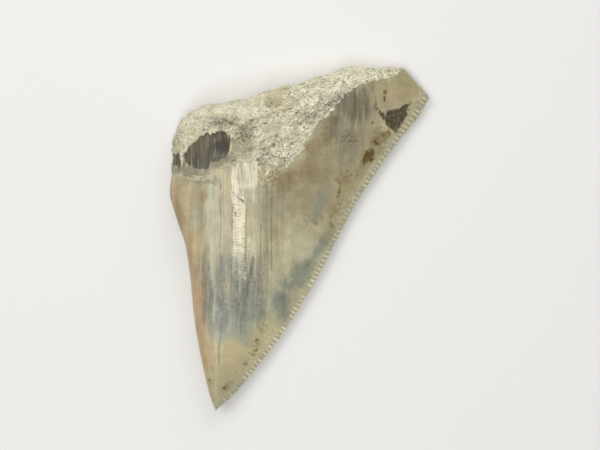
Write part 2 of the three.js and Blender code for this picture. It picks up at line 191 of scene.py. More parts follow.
# Colour zones of the enamel: colour, kind of rim, and blobs of x, y, half sizes, turn in degrees, strength
ZONES = {
    # The tan blobs at the worn side's rim are painted shade and painted warm reflection; the narrow streaks
    # further in are the enamel's own tan
    "tan": ((0.70, 0.62, 0.48), "streak", (
        (-19.4, 3.5, 2.0, 6.0, 8, 0.9), (-17.6, -1.0, 1.1, 6.5, 3, 0.7),
        (-17.2, 6.5, 1.6, 2.2, 0, 0.5), (-11.4, 7.5, 0.5, 3.0, 0, 0.4), (-16.4, 2.5, 0.5, 3.0, 0, 0.5),
    )),
    # The cool streaks are painted sheen on the rounded flank and beside the crest
    "cool_sheen": ((0.745, 0.742, 0.635), "streak", (
        (-13.4, 2.2, 0.9, 5.4, 0, 0.85), (-8.5, 8.4, 0.6, 3.0, 0, 0.85),
    )),
    "olive": ((0.62, 0.58, 0.46), "cloud", (
        (3.0, 6.0, 6.5, 4.5, 30, 0.9), (8.0, 9.5, 3.0, 4.5, -30, 0.9), (-4.3, 3.4, 2.2, 4.6, 0, 0.6),
        (-11.2, 0.2, 0.8, 4.2, 0, 0.45), (-15.0, -13.6, 1.0, 2.2, 0, 0.4),
        (9.5, 15.0, 2.0, 4.0, -30, 0.8), (4.9, 2.0, 1.1, 2.8, -28, 0.9),
    )),
    "umber": ((0.56, 0.505, 0.37), "cloud", (
        (6.4, 4.2, 1.2, 3.8, -28, 0.5), (9.0, 8.6, 1.4, 2.2, -35, 0.6),
        (4.6, 12.6, 1.6, 3.4, -15, 0.48), (3.0, 9.6, 2.0, 1.6, 0, 0.4),
        (12.9, 15.2, 2.2, 1.2, 42, 0.75), (15.0, 15.0, 1.0, 1.0, 0, 0.5),
    )),
    "brown": ((0.555, 0.488, 0.356), "cloud", (
        (-2.3, 8.5, 1.7, 1.4, 20, 0.9), (0.7, 10.0, 1.6, 2.4, -30, 0.75),
        (2.4, 13.8, 1.2, 3.0, -22, 0.72), (4.8, 16.6, 1.2, 2.6, -30, 0.85),
        # The brown blob at the worn side's rim, at x -18.8, is painted shade; the other brown blobs are the
        # enamel's own colour
        (-3.4, 6.4, 1.2, 1.8, 0, 0.45), (-18.8, 3.2, 0.9, 3.6, 14, 0.65),
        (-15.6, 6.4, 1.1, 2.4, 0, 0.4), (-14.9, 6.2, 0.5, 1.4, 0, 0.7), (-14.9, 3.4, 0.5, 2.4, 0, 0.5),
        (-0.1, 8.6, 1.4, 0.9, 0, 0.8), (12.6, 14.0, 1.0, 1.0, 0, 0.5),
    )),
    "pale": ((0.74, 0.72, 0.59), "cloud", (
        (0.2, -1.7, 3.5, 3.0, -20, 0.95), (-2.0, -4.8, 1.7, 3.2, 0, 0.75),
        (3.6, 1.4, 2.0, 1.4, 30, 0.5), (-6.6, -1.2, 1.4, 2.6, 0, 0.6),
    )),
    "haze": ((0.63, 0.64, 0.565), "cloud", (
        (-9.6, -13.6, 3.9, 3.2, 0, 0.9), (-5.0, -12.4, 1.6, 1.6, 0, 0.6),
        (-15.6, 2.8, 1.0, 1.8, 0, 0.45), (-8.0, 6.0, 1.0, 1.2, 0, 0.35),
    )),
    "blue": ((0.505, 0.52, 0.465), "streak", (
        (-10.8, -8.8, 4.2, 5.0, 0, 0.9), (-6.3, -8.8, 1.1, 4.2, 0, 0.65),
        (-14.1, -8.4, 0.6, 5.0, 0, 0.85), (-8.6, -11.6, 2.6, 1.8, 0, 0.7),
        (-4.9, -4.2, 0.5, 2.6, 0, 0.5), (-12.8, -12.6, 2.0, 2.4, 0, 0.75),
        (-5.0, -8.6, 1.6, 3.4, 0, 0.4), (-11.4, -5.6, 0.6, 1.8, 0, 0.9),
    )),
    "slate": ((0.535, 0.55, 0.49), "cloud", (
        (0.1, -6.2, 1.9, 2.9, -28, 0.95), (3.9, -0.9, 0.75, 2.7, -36, 0.9),
        (-2.7, -10.2, 1.5, 2.8, -18, 0.9), (-6.4, -10.6, 1.6, 2.2, 0, 0.85),
        (-1.4, -7.8, 1.7, 1.3, 0, 0.95), (-1.2, -10.0, 1.3, 1.5, 0, 0.3),
        (3.2, 5.2, 0.7, 2.5, -22, 0.6), (-5.2, 4.8, 1.0, 3.6, 0, 0.4), (-3.2, 4.4, 0.8, 2.4, 0, 0.4),
        (-8.0, -12.2, 1.8, 1.6, 0, 0.3), (-2.4, -12.3, 1.4, 1.3, 30, 0.95),
        (1.6, -6.6, 0.8, 2.0, -32, 0.6), (-0.3, -9.6, 1.4, 2.4, -35, 0.5),
        (2.7, 3.5, 0.5, 0.6, 0, 0.6),
    )),
    "shade": ((0.43, 0.43, 0.40), "streak", (
        (-7.6, -6.2, 0.36, 2.2, -8, 1.0), (-14.7, -7.6, 0.32, 5.6, 0, 0.95),
        (-12.0, -8.6, 0.36, 3.8, 0, 0.95), (-11.5, -11.5, 0.4, 1.6, 0, 0.5),
        (-9.2, -8.8, 0.7, 1.8, 0, 0.4), (-13.6, -10.0, 0.2, 3.6, 0, 0.45),
        (-10.4, -7.0, 0.26, 3.8, 0, 0.65), (-6.4, -5.8, 0.2, 2.8, 0, 0.45),
        (1.2, -4.3, 0.9, 0.4, 42, 0.5), (-2.9, -9.2, 0.6, 0.8, 0, 0.35),
        (-11.6, -6.0, 0.15, 2.6, 0, 0.4),
    )),
    # The pearl streaks are painted highlight, a second bright line on the flank towards the tip
    "pearl_sheen": ((0.735, 0.74, 0.67), "streak", (
        (-13.2, -12.0, 0.3, 4.8, -2, 0.65), (-13.1, -17.6, 0.34, 3.6, -2, 0.65),
        (-9.2, -6.2, 0.14, 2.4, 0, 0.4), (-13.4, -5.4, 0.16, 1.8, 0, 0.35),
    )),
    "yellow": ((0.76, 0.705, 0.54), "cloud", (
        (-16.4, -1.0, 0.8, 3.0, 0, 0.7), (-5.0, -13.8, 0.9, 1.8, 0, 0.6),
        (-10.6, -18.6, 4.6, 2.5, 0, 0.95), (-5.4, -15.6, 2.0, 1.3, 45, 0.9),
        (-14.6, -16.4, 0.8, 2.6, 0, 0.5), (-10.9, -7.6, 0.25, 2.4, 0, 0.5),
    )),
    "strait": ((0.70, 0.69, 0.58), "cloud", ((-4.6, -10.8, 0.45, 2.4, 0, 0.8),)),
    # The broad amber blobs along the worn side's rim are painted warm reflection and painted shade; the
    # thin streak at x -15.3 is the enamel's own colour
    "amber": ((0.71, 0.59, 0.445), "streak", (
        (-16.3, -10.0, 1.4, 7.2, 3, 0.9), (-14.9, -19.2, 1.4, 5.2, 8, 0.9),
        (-19.5, 6.0, 1.0, 3.2, 8, 0.8), (-15.3, -6.5, 0.2, 4.5, 2, 0.4),
    )),
    "green": ((0.68, 0.638, 0.495), "cloud", (
        (-12.2, -23.9, 2.8, 3.8, 0, 0.95), (-12.0, -20.2, 2.2, 1.6, 0, 0.6),
    )),
    "khaki": ((0.635, 0.585, 0.44), "cloud", (
        (17.0, 23.6, 2.4, 2.8, -40, 0.95), (-11.6, -7.4, 0.9, 2.8, 0, 0.35),
        (8.2, 7.4, 1.6, 5.4, -30, 0.78), (5.6, 1.8, 0.9, 2.4, -28, 0.7),
        (12.4, 23.6, 1.6, 0.8, 10, 0.6),
    )),
    "grey": ((0.49, 0.465, 0.39), "streak", (
        (7.6, 20.8, 2.8, 3.0, -35, 0.95), (6.6, 16.4, 1.3, 3.8, 0, 0.65),
        (8.0, 14.6, 1.5, 2.8, 0, 0.6), (10.7, 20.9, 1.3, 3.4, -6, 0.5), (4.6, 19.6, 0.8, 1.2, 0, 0.6),
        (5.4, 17.6, 2.2, 2.0, -15, 0.6), (-15.0, 8.8, 2.0, 0.7, 0, 0.65),
    )),
    "groove": ((0.39, 0.36, 0.28), "streak", (
        (8.7, 20.9, 0.3, 2.2, 0, 0.6), (10.0, 21.4, 0.25, 2.2, 0, 0.5),
        (10.5, 19.8, 0.35, 1.8, 0, 0.6), (11.9, 21.4, 0.3, 1.8, -6, 0.55),
        (8.3, 18.2, 0.3, 1.4, 0, 0.4), (7.2, 20.4, 0.2, 1.6, 0, 0.3), (5.2, 16.8, 0.4, 1.6, -15, 0.35),
        (-12.5, -17.8, 0.1, 2.2, 2, 0.45),
    )),
    "cream": ((0.675, 0.62, 0.49), "cloud", (
        (13.4, 21.8, 1.7, 2.4, 0, 0.9), (11.6, 18.0, 0.8, 1.2, -20, 0.5),
        (10.2, 14.8, 0.8, 1.4, 0, 0.4),
    )),
}
# Zones of the underside, by the same names and with the same blobs
UNDER_ZONES = {
    "tan": ((-10.0, -4.0, 6.0, 16.0, 10, 0.7),),
    "slate": ((-4.0, -8.0, 4.0, 6.0, -30, 0.7), (4.0, 8.0, 5.0, 4.0, 10, 0.5)),
    "yellow": ((-11.0, -20.0, 4.0, 5.0, 0, 0.8),),
    "olive": ((6.0, 10.0, 7.0, 6.0, -20, 0.6),),
}
# Rim of the dark stain
STAIN_RIM = (
    (13.6, 19.8), (15.2, 19.9), (16.0, 20.1), (16.6, 20.6), (17.5, 20.9), (17.1, 20.0), (16.6, 18.9),
    (16.1, 17.6), (15.6, 16.5), (14.9, 16.2), (14.1, 17.2), (13.4, 18.4),
)
# Where dark and rust-brown specks crowd until they touch, with the same blobs
DARK_MARKS = (
    (13.0, 18.9, 0.55, 0.9, 24, 0.92), (12.0, 20.3, 0.3, 0.8, 5, 0.75),
    (11.4, 17.8, 0.28, 0.22, 0, 0.85), (10.4, 19.8, 0.22, 1.3, -10, 0.6),
    (13.5, 22.6, 0.4, 0.45, 0, 0.8), (13.3, 21.7, 0.22, 0.6, 0, 0.7), (7.8, 15.2, 1.4, 1.6, 0, 0.45),
    (-9.0, 5.8, 0.4, 0.28, -35, 0.75), (-9.85, 3.6, 0.2, 0.6, 0, 0.7),
    (-12.15, 7.8, 0.14, 0.6, 0, 0.6), (-10.2, 5.0, 0.3, 1.6, 0, 0.4), (9.2, 21.4, 1.4, 1.4, 0, 0.35),
)
FRECKLES = (
    (10.6, 12.3, 0.9, 1.3, -28, 1.0), (11.4, 13.4, 0.6, 0.5, 0, 0.9), (12.2, 14.8, 1.1, 0.9, 30, 0.78),
    (13.5, 16.0, 1.2, 0.7, 30, 0.68), (12.0, 16.4, 0.8, 0.8, 0, 0.5), (7.5, 9.5, 2.0, 1.1, 15, 0.5),
    (6.2, 7.0, 0.4, 1.4, -5, 0.7), (5.1, 1.9, 0.4, 0.55, 0, 0.7), (2.2, 3.0, 1.6, 1.8, 0, 0.32),
    (6.2, 4.6, 0.9, 2.6, -25, 0.44), (-6.4, -16.1, 0.5, 0.8, -20, 0.65),
    (-6.9, -18.2, 0.45, 0.8, -20, 0.7), (-8.2, -19.7, 0.5, 0.45, 0, 0.75),
    (-11.1, -23.0, 0.5, 0.9, -30, 0.72), (-10.9, -24.7, 0.4, 0.3, 0, 0.65),
    (-5.5, -14.3, 1.1, 0.8, 30, 0.35), (-7.4, -17.4, 1.4, 2.4, -35, 0.3),
    (-13.9, -22.5, 0.3, 0.6, 0, 0.5), (11.0, 11.6, 0.6, 0.8, -30, 0.7),
)
# Zones of the root, with the same blobs: where dark specks crowd; where it is dull, with painted shade at
# the left rim; where it is pale, with painted highlight along the broken top; where it is brown; and a
# smooth grey band
SPECK_CLUSTERS = (
    (-11.6, 18.1, 1.7, 0.8, 0, 0.95), (-8.2, 15.9, 1.7, 1.2, 0, 0.9), (-9.7, 15.0, 0.7, 0.7, 0, 0.7),
    (-5.0, 13.6, 1.1, 0.7, -25, 0.8), (-6.1, 11.6, 0.5, 0.8, 0, 0.7), (-2.9, 12.1, 1.4, 0.6, -20, 0.6),
    (-4.2, 9.6, 1.2, 1.4, 0, 0.45), (-4.6, 11.7, 0.9, 0.5, 0, 0.75), (1.3, 19.1, 1.2, 0.8, 20, 0.7),
    (6.0, 21.4, 2.2, 0.6, 42, 0.6), (-10.1, 12.2, 0.6, 0.5, 0, 0.7), (-0.8, 20.4, 1.2, 0.4, 15, 0.6),
    (-1.8, 14.9, 1.9, 0.5, 0, 0.5), (-3.9, 20.6, 1.4, 0.7, 0, 0.5),
)
# The blob at the left rim, at x -18.9, is painted shade where the root rounds away; the other blobs are the
# root's dull grey tone
DUSKY_AND_SHADED_ROOT = (
    (-8.4, 14.6, 1.4, 2.0, 0, 0.8), (-9.8, 12.7, 2.0, 0.9, 0, 0.7), (-15.4, 9.4, 3.0, 0.8, 0, 0.9),
    (-9.6, 14.2, 0.9, 1.2, 0, 1.0), (-18.9, 14.4, 0.9, 2.6, -10, 0.5),
)
# The thin bands along the broken top, at y 20.0 and 25.6, are painted highlight where the rim turns up
# towards the light; the other blobs are the root's own pale grains
PALE_ROOT = (
    (-15.2, 18.5, 2.0, 1.2, 20, 1.0), (-8.4, 18.8, 1.0, 1.1, 0, 1.0), (-11.0, 20.0, 4.2, 0.8, 8, 0.7),
    (4.8, 22.4, 1.4, 1.2, 0, 0.5), (6.6, 25.6, 3.4, 0.9, 5, 1.0), (0.2, 13.8, 1.3, 1.8, 0, 0.7),
    (-1.6, 17.2, 2.2, 1.8, 30, 0.7), (-3.8, 16.0, 1.0, 1.0, 0, 0.7),
)
BROWN_ROOT = (
    (-5.6, 9.6, 0.5, 1.8, 0, 0.8), (-3.9, 9.6, 0.8, 1.0, 30, 0.8), (-2.8, 11.2, 1.2, 0.5, 35, 0.6),
    (-3.7, 20.7, 1.7, 0.9, -5, 0.6), (-1.9, 22.4, 0.7, 0.6, 0, 0.5),
)
GREY_BAND = ((-17.2, 10.4, 3.6, 0.95, -4, 1.0), (-11.9, 11.8, 2.4, 0.8, 20, 0.9))
# Deepest and bluish parts of the dark patch
DEEP_FLOOR = ((-11.9, 14.2, 1.2, 0.9, 0, 1.0), (-15.9, 11.6, 1.2, 0.8, 0, 0.35))
BLUISH_FLOOR = ((-12.1, 12.9, 1.2, 0.7, 0, 1.0), (-14.7, 11.2, 1.1, 0.8, 0, 0.8))

# Display colours and roughness. A pair of colours is mixed by a mask, or is a speck's halo and core.
ENAMEL = (0.71, 0.675, 0.54)
CRACK = (0.38, 0.36, 0.28)
FRECKLE = ((0.50, 0.43, 0.255), (0.35, 0.25, 0.07))
DARK_MARK = ((0.40, 0.36, 0.235), (0.27, 0.22, 0.165))
WEAVE_DARK = (0.37, 0.365, 0.335)
WEAVE_LIGHT = (0.74, 0.74, 0.66)
# Colours of the painted highlight on the crest, above and towards the tip
CREST_HIGHLIGHT_DOWNWARD = ((0.88, 0.85, 0.74), (0.82, 0.815, 0.745))
# Serration colours: the beads are lighter with painted highlight, the gaps darker with painted shade in the
# notches
BEAD_HIGHLIGHT_TIPWARD = ((0.775, 0.75, 0.625), (0.90, 0.855, 0.73))
GAP_SHADE_TIPWARD = ((0.645, 0.62, 0.50), (0.715, 0.68, 0.555))
EDGE_BAND_TIPWARD = ((0.705, 0.685, 0.565), (0.78, 0.75, 0.60))
ROOT_GRAINS = ((0.815, 0.795, 0.655), (0.935, 0.905, 0.785))
ROOT_PALE = (0.93, 0.91, 0.80)
ROOT_FLECK = (0.96, 0.94, 0.825)
ROOT_BROWN = (0.75, 0.68, 0.515)
ROOT_DUSKY_AND_SHADE = (0.64, 0.62, 0.51)
ROOT_GREY = (0.58, 0.57, 0.49)
ROOT_PIT = (0.58, 0.555, 0.45)
ROOT_SPECK = (0.40, 0.39, 0.33)
LEDGE_STREAKS = ((0.45, 0.43, 0.35), (0.56, 0.535, 0.445))
LEDGE_CREAM = (0.79, 0.755, 0.63)
PATCH_STREAKS = ((0.28, 0.25, 0.195), (0.43, 0.39, 0.31))
PATCH_BLUISH_STREAKS = ((0.31, 0.31, 0.275), (0.415, 0.415, 0.37))
PATCH_DEEP = (0.20, 0.18, 0.14)
PATCH_VEIN = (0.64, 0.615, 0.53)
ENAMEL_ROUGHNESS = 0.42
ROOT_ROUGHNESS = 0.9
PATCH_ROUGHNESS = 0.6

# Camera, floor and lights, in millimetres. A light has its name, place, size and power in watts.
FRAME_WIDTH = 93.75
FRAME_CENTRE = (0.16, 1.88)
CAMERA_HEIGHT = 600.0
SEAM_PLANE = 2.0
SENSOR_WIDTH = 36.0
FLOOR_SIZE = 3000.0
FLOOR_COLOUR = (0.80, 0.79, 0.77, 1)
FLOOR_ROUGHNESS = 0.9
LIGHTS = (
    ("overhead", (-8, -60, 400), (50, 280), 0.65),
    ("key", (-260, 160, 400), (300, 300), 0.85),
    ("fill", (80, 330, 240), (300, 200), 0.4),
)
WORLD_STRENGTH = 0.33


# Curves and noise

def catmull_rom(points, t):
    """Points on a smooth curve through the given points, t from 0 to 1."""
    points = np.asarray(points, float)
    last = len(points) - 1
    place = np.clip(t, 0, 1) * last
    index = np.minimum(place.astype(int), last - 1)
    f = (place - index)[..., None]
    before, a, b, after = (points[np.clip(index + k, 0, last)] for k in (-1, 0, 1, 2))
    start, end = (b - before) / 2, (after - a) / 2
    return (2 * a - 2 * b + start + end) * f**3 + (3 * b - 3 * a - 2 * start - end) * f**2 + start * f + a


def smoothstep(value, low, high):
    t = np.clip((value - low) / (high - low), 0, 1)
    return t * t * (3 - 2 * t)


def ease_out(t):
    return 1 - (1 - np.minimum(t, 1)) ** 2


def lattice(cells, seed):
    """A fixed random number from 0 to 1 for each whole-number cell."""
    mixed = sum(axis * factor for axis, factor in zip(np.moveaxis(cells, -1, 0), CELL_FACTORS))
    mixed = (mixed + seed * SEED_FACTOR) & BITS_32
    mixed = ((mixed ^ (mixed >> 13)) * MIXING_FACTOR) & BITS_32
    return ((mixed ^ (mixed >> 16)) & BITS_16) / BITS_16


def noise(points, size, seed):
    """Smooth noise from -1 to 1 whose lumps are size millimetres across; size may differ by axis."""
    place = points / np.asarray(size)
    cell = np.floor(place).astype(np.int64)
    f = place - cell
    f = f * f * (3 - 2 * f)
    total = np.zeros(len(points))
    for corner in itertools.product((0, 1), repeat=3):
        weight = np.prod(np.where(corner, f, 1 - f), axis=-1)
        total += weight * lattice(cell + corner, seed)
    return 2 * total - 1


def layered_noise(points, layers):
    """The sum of some layers of noise, in millimetres."""
    return sum(height * noise(points, size, seed) for height, size, seed in layers)


def crevices(points, size, seed):
    """1 along broken, branching cracks between grains and 0 on the grains."""
    ridged = (1 - np.abs(noise(points, size, seed))) * (1 - np.abs(noise(points, 0.6 * size, seed + 1)))
    return smoothstep(ridged, 0.62, 0.92)


def pores(points, size, largest, seed):
    """1 in the middle of scattered round pores and 0 outside them."""
    cell = np.floor(points / size).astype(np.int64)
    depth = np.zeros(len(points))
    for offset in itertools.product((-1, 0, 1), repeat=3):
        near = cell + offset
        middle = size * (near + np.stack([lattice(near, seed + k) for k in (1, 2, 3)], -1))
        radius = largest * lattice(near, seed) ** 2 + 1e-6
        depth = np.maximum(depth, 1 - np.linalg.norm(points - middle, axis=-1) / radius)
    return smoothstep(depth, 0, 0.7)


# Form of the tooth: s runs from the tip (0) to the break (1), and w from the worn side (-1) to the cutting
# edge (1)

def break_depth(w):
    """How far the broken end bulges past the rim of its face."""
    return BREAK_DEPTH_ENDS + BREAK_DEPTH_MIDDLE * (1 - w * w)


def right_end(s):
    """The right end of a ring: on the cutting edge, then on the straight break of the corner."""
    shoulder = np.array(CUTTING_EDGE[-1])
    into_corner = np.clip((s - SHOULDER) / (1 - SHOULDER), 0, 1)[..., None]
    corner = shoulder + (np.array(CORNER_BREAK_END) - shoulder) * into_corner
    return np.where(into_corner > 0, corner, catmull_rom(CUTTING_EDGE, s / SHOULDER))


def cutting_edge_line():
    """The cutting edge as a line of close points, from the tip to the shoulder."""
    return catmull_rom(CUTTING_EDGE, np.linspace(0, 1, EDGE_LINE_POINTS))


def plan_point(s, w):
    """Where the smooth form stands in plan, with its break bent to the broken top."""
    share = ((1 + w) / 2)[..., None]
    left, right = catmull_rom(WORN_SIDE, s), right_end(s)
    point = left + (right - left) * share
    at_break = catmull_rom(BROKEN_TOP, share[..., 0])
    at_break[..., 1] -= break_depth(w)
    chord = np.array(WORN_SIDE[-1]) * (1 - share) + np.array(CORNER_BREAK_END) * share
    return point + (at_break - chord) * smoothstep(s, BOW_START, 1)[..., None]


def crest_profile(w):
    """The section's height across, 1 on the crest: a wedge to the cutting edge, round at the worn side."""
    crest = (ROUND_POWER - WEDGE_POWER) / (ROUND_POWER + WEDGE_POWER)
    highest = (1 - crest) ** WEDGE_POWER * (1 + crest) ** ROUND_POWER
    return (1 - w) ** WEDGE_POWER * (1 + w) ** ROUND_POWER / highest


def seam_height(s, w):
    """Height of the seam between the upper and the under face, which rises to the tip."""
    settled = ease_out(s / TIP_LIFT_SHARE)
    base = SEAM_WORN_SIDE + (SEAM_CUTTING_EDGE - SEAM_WORN_SIDE) * (1 + w) / 2
    return SEAM_TIP + (base - SEAM_TIP) * settled


def edge_half_thickness(s):
    into_corner = np.clip((s - SHOULDER) / (1 - SHOULDER), 0, 1)
    full = EDGE_HALF_THICKNESS + (CORNER_HALF_THICKNESS - EDGE_HALF_THICKNESS) * into_corner
    return full * ease_out(s / TIP_SHARE)


def surface_point(s, w, upper, turn):
    """A point of the smooth form; turn rolls it round the broken end."""
    seam = seam_height(s, w)
    half = edge_half_thickness(s)
    top = seam + half + CREST_RISE * s**CREST_GROWTH * crest_profile(w)
    flat = ease_out((1 - w) / UNDER_WEDGE_SHARE) * np.sqrt(ease_out((1 + w) / UNDER_ROUND_SHARE))
    under = (seam - half) * (1 - flat * ease_out(s / TIP_LIFT_SHARE))
    height = np.where(upper, top, under)
    x, y = np.moveaxis(plan_point(s, w), -1, 0)
    return np.stack([x, y + break_depth(w) * np.sin(turn), seam + (height - seam) * np.cos(turn)], -1)


# Mesh of rings, each with as many points as its length needs

def ring_shares():
    """Values of s whose right ends stand evenly along the cutting edge and the corner break."""
    fine = np.linspace(0, 1, RING_SAMPLES)
    steps = np.linalg.norm(np.diff(right_end(fine), axis=0), axis=1)
    along = np.concatenate([[0], np.cumsum(steps)])
    return np.interp(np.arange(EDGE_STEP, along[-1], EDGE_STEP), along, fine)


def ring_columns(s):
    """Places across one ring: w over the top from the cutting edge, then back underneath."""
    width = np.linalg.norm(right_end(np.array(s)) - catmull_rom(WORN_SIDE, np.array(s)))
    ribs = np.arange(0, min(RIB_ZONE, width / 2), RIB_STEP)
    top, under = (
        np.concatenate([ribs, np.linspace(ribs[-1] + RIB_STEP, width, 2 + int(width / step))])
        for step in (ACROSS_STEP, UNDER_STEP)
    )
    return np.clip(1 - 2 * top / width, -1, 1), np.clip(1 - 2 * under[::-1] / width, -1, 1)


def strip(a, a_places, b, b_places):
    """Triangles between two lines of points, joined in the order of their places."""
    faces = []
    i = j = 0
    while i < len(a) - 1 or j < len(b) - 1:
        if j == len(b) - 1 or (i < len(a) - 1 and a_places[i + 1] <= b_places[j + 1]):
            faces.append((a[i + 1], a[i], b[j]))
            i += 1
        else:
            faces.append((a[i], b[j], b[j + 1]))
            j += 1
    return faces


def tooth_grid():
    """Every point's s, w, side and turn, and the triangles between the rings.

    A place on a ring is 0 to 1 over the top, 2 to 3 underneath and 4 where the ring closes.
    """
    shares = list(ring_shares()) + [1.0] * (CAP_STEPS + 1)
    turns = [0.0] * (len(shares) - CAP_STEPS) + list(np.linspace(0, CAP_LAST_TURN, CAP_STEPS + 1)[1:])
    parts = [np.array([[0.0, 0.0, 1.0, 0.0]])]
    faces = []
    line, places = [0, 0], np.array([0.0, 4.0])
    count = 1
    for s, turn in zip(shares, turns):
        top, under = ring_columns(s)
        w = np.concatenate([top, under])
        upper = np.arange(len(w)) < len(top)
        parts.append(np.stack([np.full(len(w), s), w, upper, np.full(len(w), turn)], 1))
        next_line = [count + k for k in range(len(w))] + [count]
        next_places = np.concatenate([(1 - top) / 2, 2 + (1 + under) / 2, [4.0]])
        faces += strip(line, places, next_line, next_places)
        line, places = next_line, next_places
        count += len(w)
    back = line[len(top):-1][::-1]
    faces += strip(line[:len(top)], (1 - top) / 2, back, (1 - under[::-1]) / 2)
    faces = [face for face in faces if len(set(face)) == 3]
    return np.concatenate(parts), faces


# Distances and masks on the surface

def distance_to_line(points, line):
    """Distance in plan from each point to a line of points, and how far along it the nearest place is."""
    line = np.asarray(line, float)
    steps = np.diff(line, axis=0)
    lengths = np.linalg.norm(steps, axis=1)
    starts = np.concatenate([[0], np.cumsum(lengths)])
    best = np.full(len(points), np.inf)
    along = np.zeros(len(points))
    for start, step, length, before in zip(line[:-1], steps, lengths, starts):
        t = np.clip((points - start) @ step / length**2, 0, 1)
        gap = np.linalg.norm(points - start - t[:, None] * step, axis=1)
        closer = gap < best
        best = np.where(closer, gap, best)
        along = np.where(closer, before + t * length, along)
    return best, along


def ellipse_radius(points, x, y, half_x, half_y, turn):
    """1 on the ellipse's rim, less inside it."""
    angle = math.radians(turn)
    dx, dy = points[:, 0] - x, points[:, 1] - y
    along = dx * math.cos(angle) + dy * math.sin(angle)
    over = dy * math.cos(angle) - dx * math.sin(angle)
    return np.hypot(along / half_x, over / half_y)


def fibres(points):
    """Fine streaks of the root that rise towards the corner, from -1 to 1."""
    angle = math.radians(FIBRE_TURN)
    along = points[:, 0] * math.cos(angle) + points[:, 1] * math.sin(angle)
    over = points[:, 1] * math.cos(angle) - points[:, 0] * math.sin(angle)
    return noise(np.stack([along, over, points[:, 2]], 1), (1.8, 0.34, 0.9), 91)


def blobs_mask(points, blobs, kind, seed):
    """How strongly a colour zone covers each point; its rim is frayed by noise."""
    broad, fine, ragged, softness = FRAYED[kind]
    wobble = ragged * (noise(points, broad, seed) + 0.7 * noise(points, fine, seed + 1))
    mask = np.zeros(len(points))
    for x, y, half_x, half_y, turn, strength in blobs:
        radius = ellipse_radius(points, x, y, half_x, half_y, turn)
        mask = np.maximum(mask, strength * (1 - smoothstep(radius + wobble, 1 - softness, 1 + softness)))
    return mask


def crest_highlight_mask(points):
    """The painted highlight along the crest, in bright strands: sharp sides, and frayed ends that fade
    downward.
    """
    x = points[:, 0] + layered_noise(points, STRAND_SIDES)
    y = points[:, 1] + layered_noise(points, STRAND_ENDS)
    uneven = 0.95 + 0.12 * noise(points, (0.3, 4, 4), 66)
    mask = np.zeros(len(points))
    for left, right, low, high, strength in CREST_HIGHLIGHT_STRANDS:
        inside = smoothstep(x, left - 0.08, left + 0.1) * (1 - smoothstep(x, right - 0.1, right + 0.08))
        ends = smoothstep(y, low - 1.2, low + 0.9) * (1 - smoothstep(y, high - 0.5, high + 0.5))
        mask = np.maximum(mask, strength * inside * ends)
    return mask * uneven


def nearest_line(points, lines):
    """Distance in plan from each point to the nearest of the lines."""
    return np.min([distance_to_line(points[:, :2], line)[0] for line in lines], axis=0)


def root_distance(points, faces_up):
    """Millimetres past the enamel margin, positive on the porous root."""
    gap, _ = distance_to_line(points[:, :2], ENAMEL_MARGIN)
    margin = np.array(ENAMEL_MARGIN)
    above = points[:, 1] > np.interp(points[:, 0], margin[:, 0], margin[:, 1])
    top = np.where(above, gap, -gap)
    under = points[:, 1] - BACK_MARGIN_Y - BACK_MARGIN_SWING * np.sin(points[:, 0] / BACK_MARGIN_STRETCH)
    return np.where(faces_up, top, under) + layered_noise(points, RAGGED_MARGIN)


def serration_profile(points):
    """Distance to the cutting edge, and the serrations' height there, from 0 in the notches to 1."""
    edge = cutting_edge_line()
    gap, along = distance_to_line(points[:, :2], edge)
    length = np.linalg.norm(np.diff(edge, axis=0), axis=1).sum()
    uneven = SERRATION_UNEVENNESS * noise(along[:, None].repeat(3, axis=1), 1.6, 83)
    place = SERRATIONS * (along / length) ** (1 / (1 + SERRATION_GROWTH)) + uneven
    number = np.floor(place).astype(np.int64)
    wear = LEAST_SERRATION + (1 - LEAST_SERRATION) * lattice(number[:, None].repeat(3, axis=1), 84)
    return gap, wear * (0.5 - 0.5 * np.cos(2 * math.pi * (place % 1)))


def inside_distance(points, rim):
    """Millimetres inside a closed line, negative outside it."""
    closed = np.array(rim + rim[:1])
    gap, _ = distance_to_line(points[:, :2], closed)
    inside = np.zeros(len(points), bool)
    for (x0, y0), (x1, y1) in zip(closed[:-1], closed[1:]):
        crosses = (points[:, 1] < y0) != (points[:, 1] < y1)
        at = x0 + (points[:, 1] - y0) * (x1 - x0) / (y1 - y0 if y1 != y0 else 1)
        inside ^= crosses & (points[:, 0] < at)
    return np.where(inside, gap, -gap)


def patch_distance(points):
    """Millimetres inside the dark patch, whose upper rim is torn into upright points."""
    torn = layered_noise(points, TORN_PATCH)
    above = smoothstep(points[:, 1], 12.5, 14.5)
    patch = inside_distance(points, DARK_PATCH) + torn * (0.45 + 0.75 * above)
    chip = inside_distance(points, DARK_CHIP) + 1.6 * torn
    return np.maximum(patch, chip)


def stain_mask(points):
    return smoothstep(inside_distance(points, STAIN_RIM) + 0.3 * noise(points, 0.6, 65), -0.35, 0.2)


# Building the piece

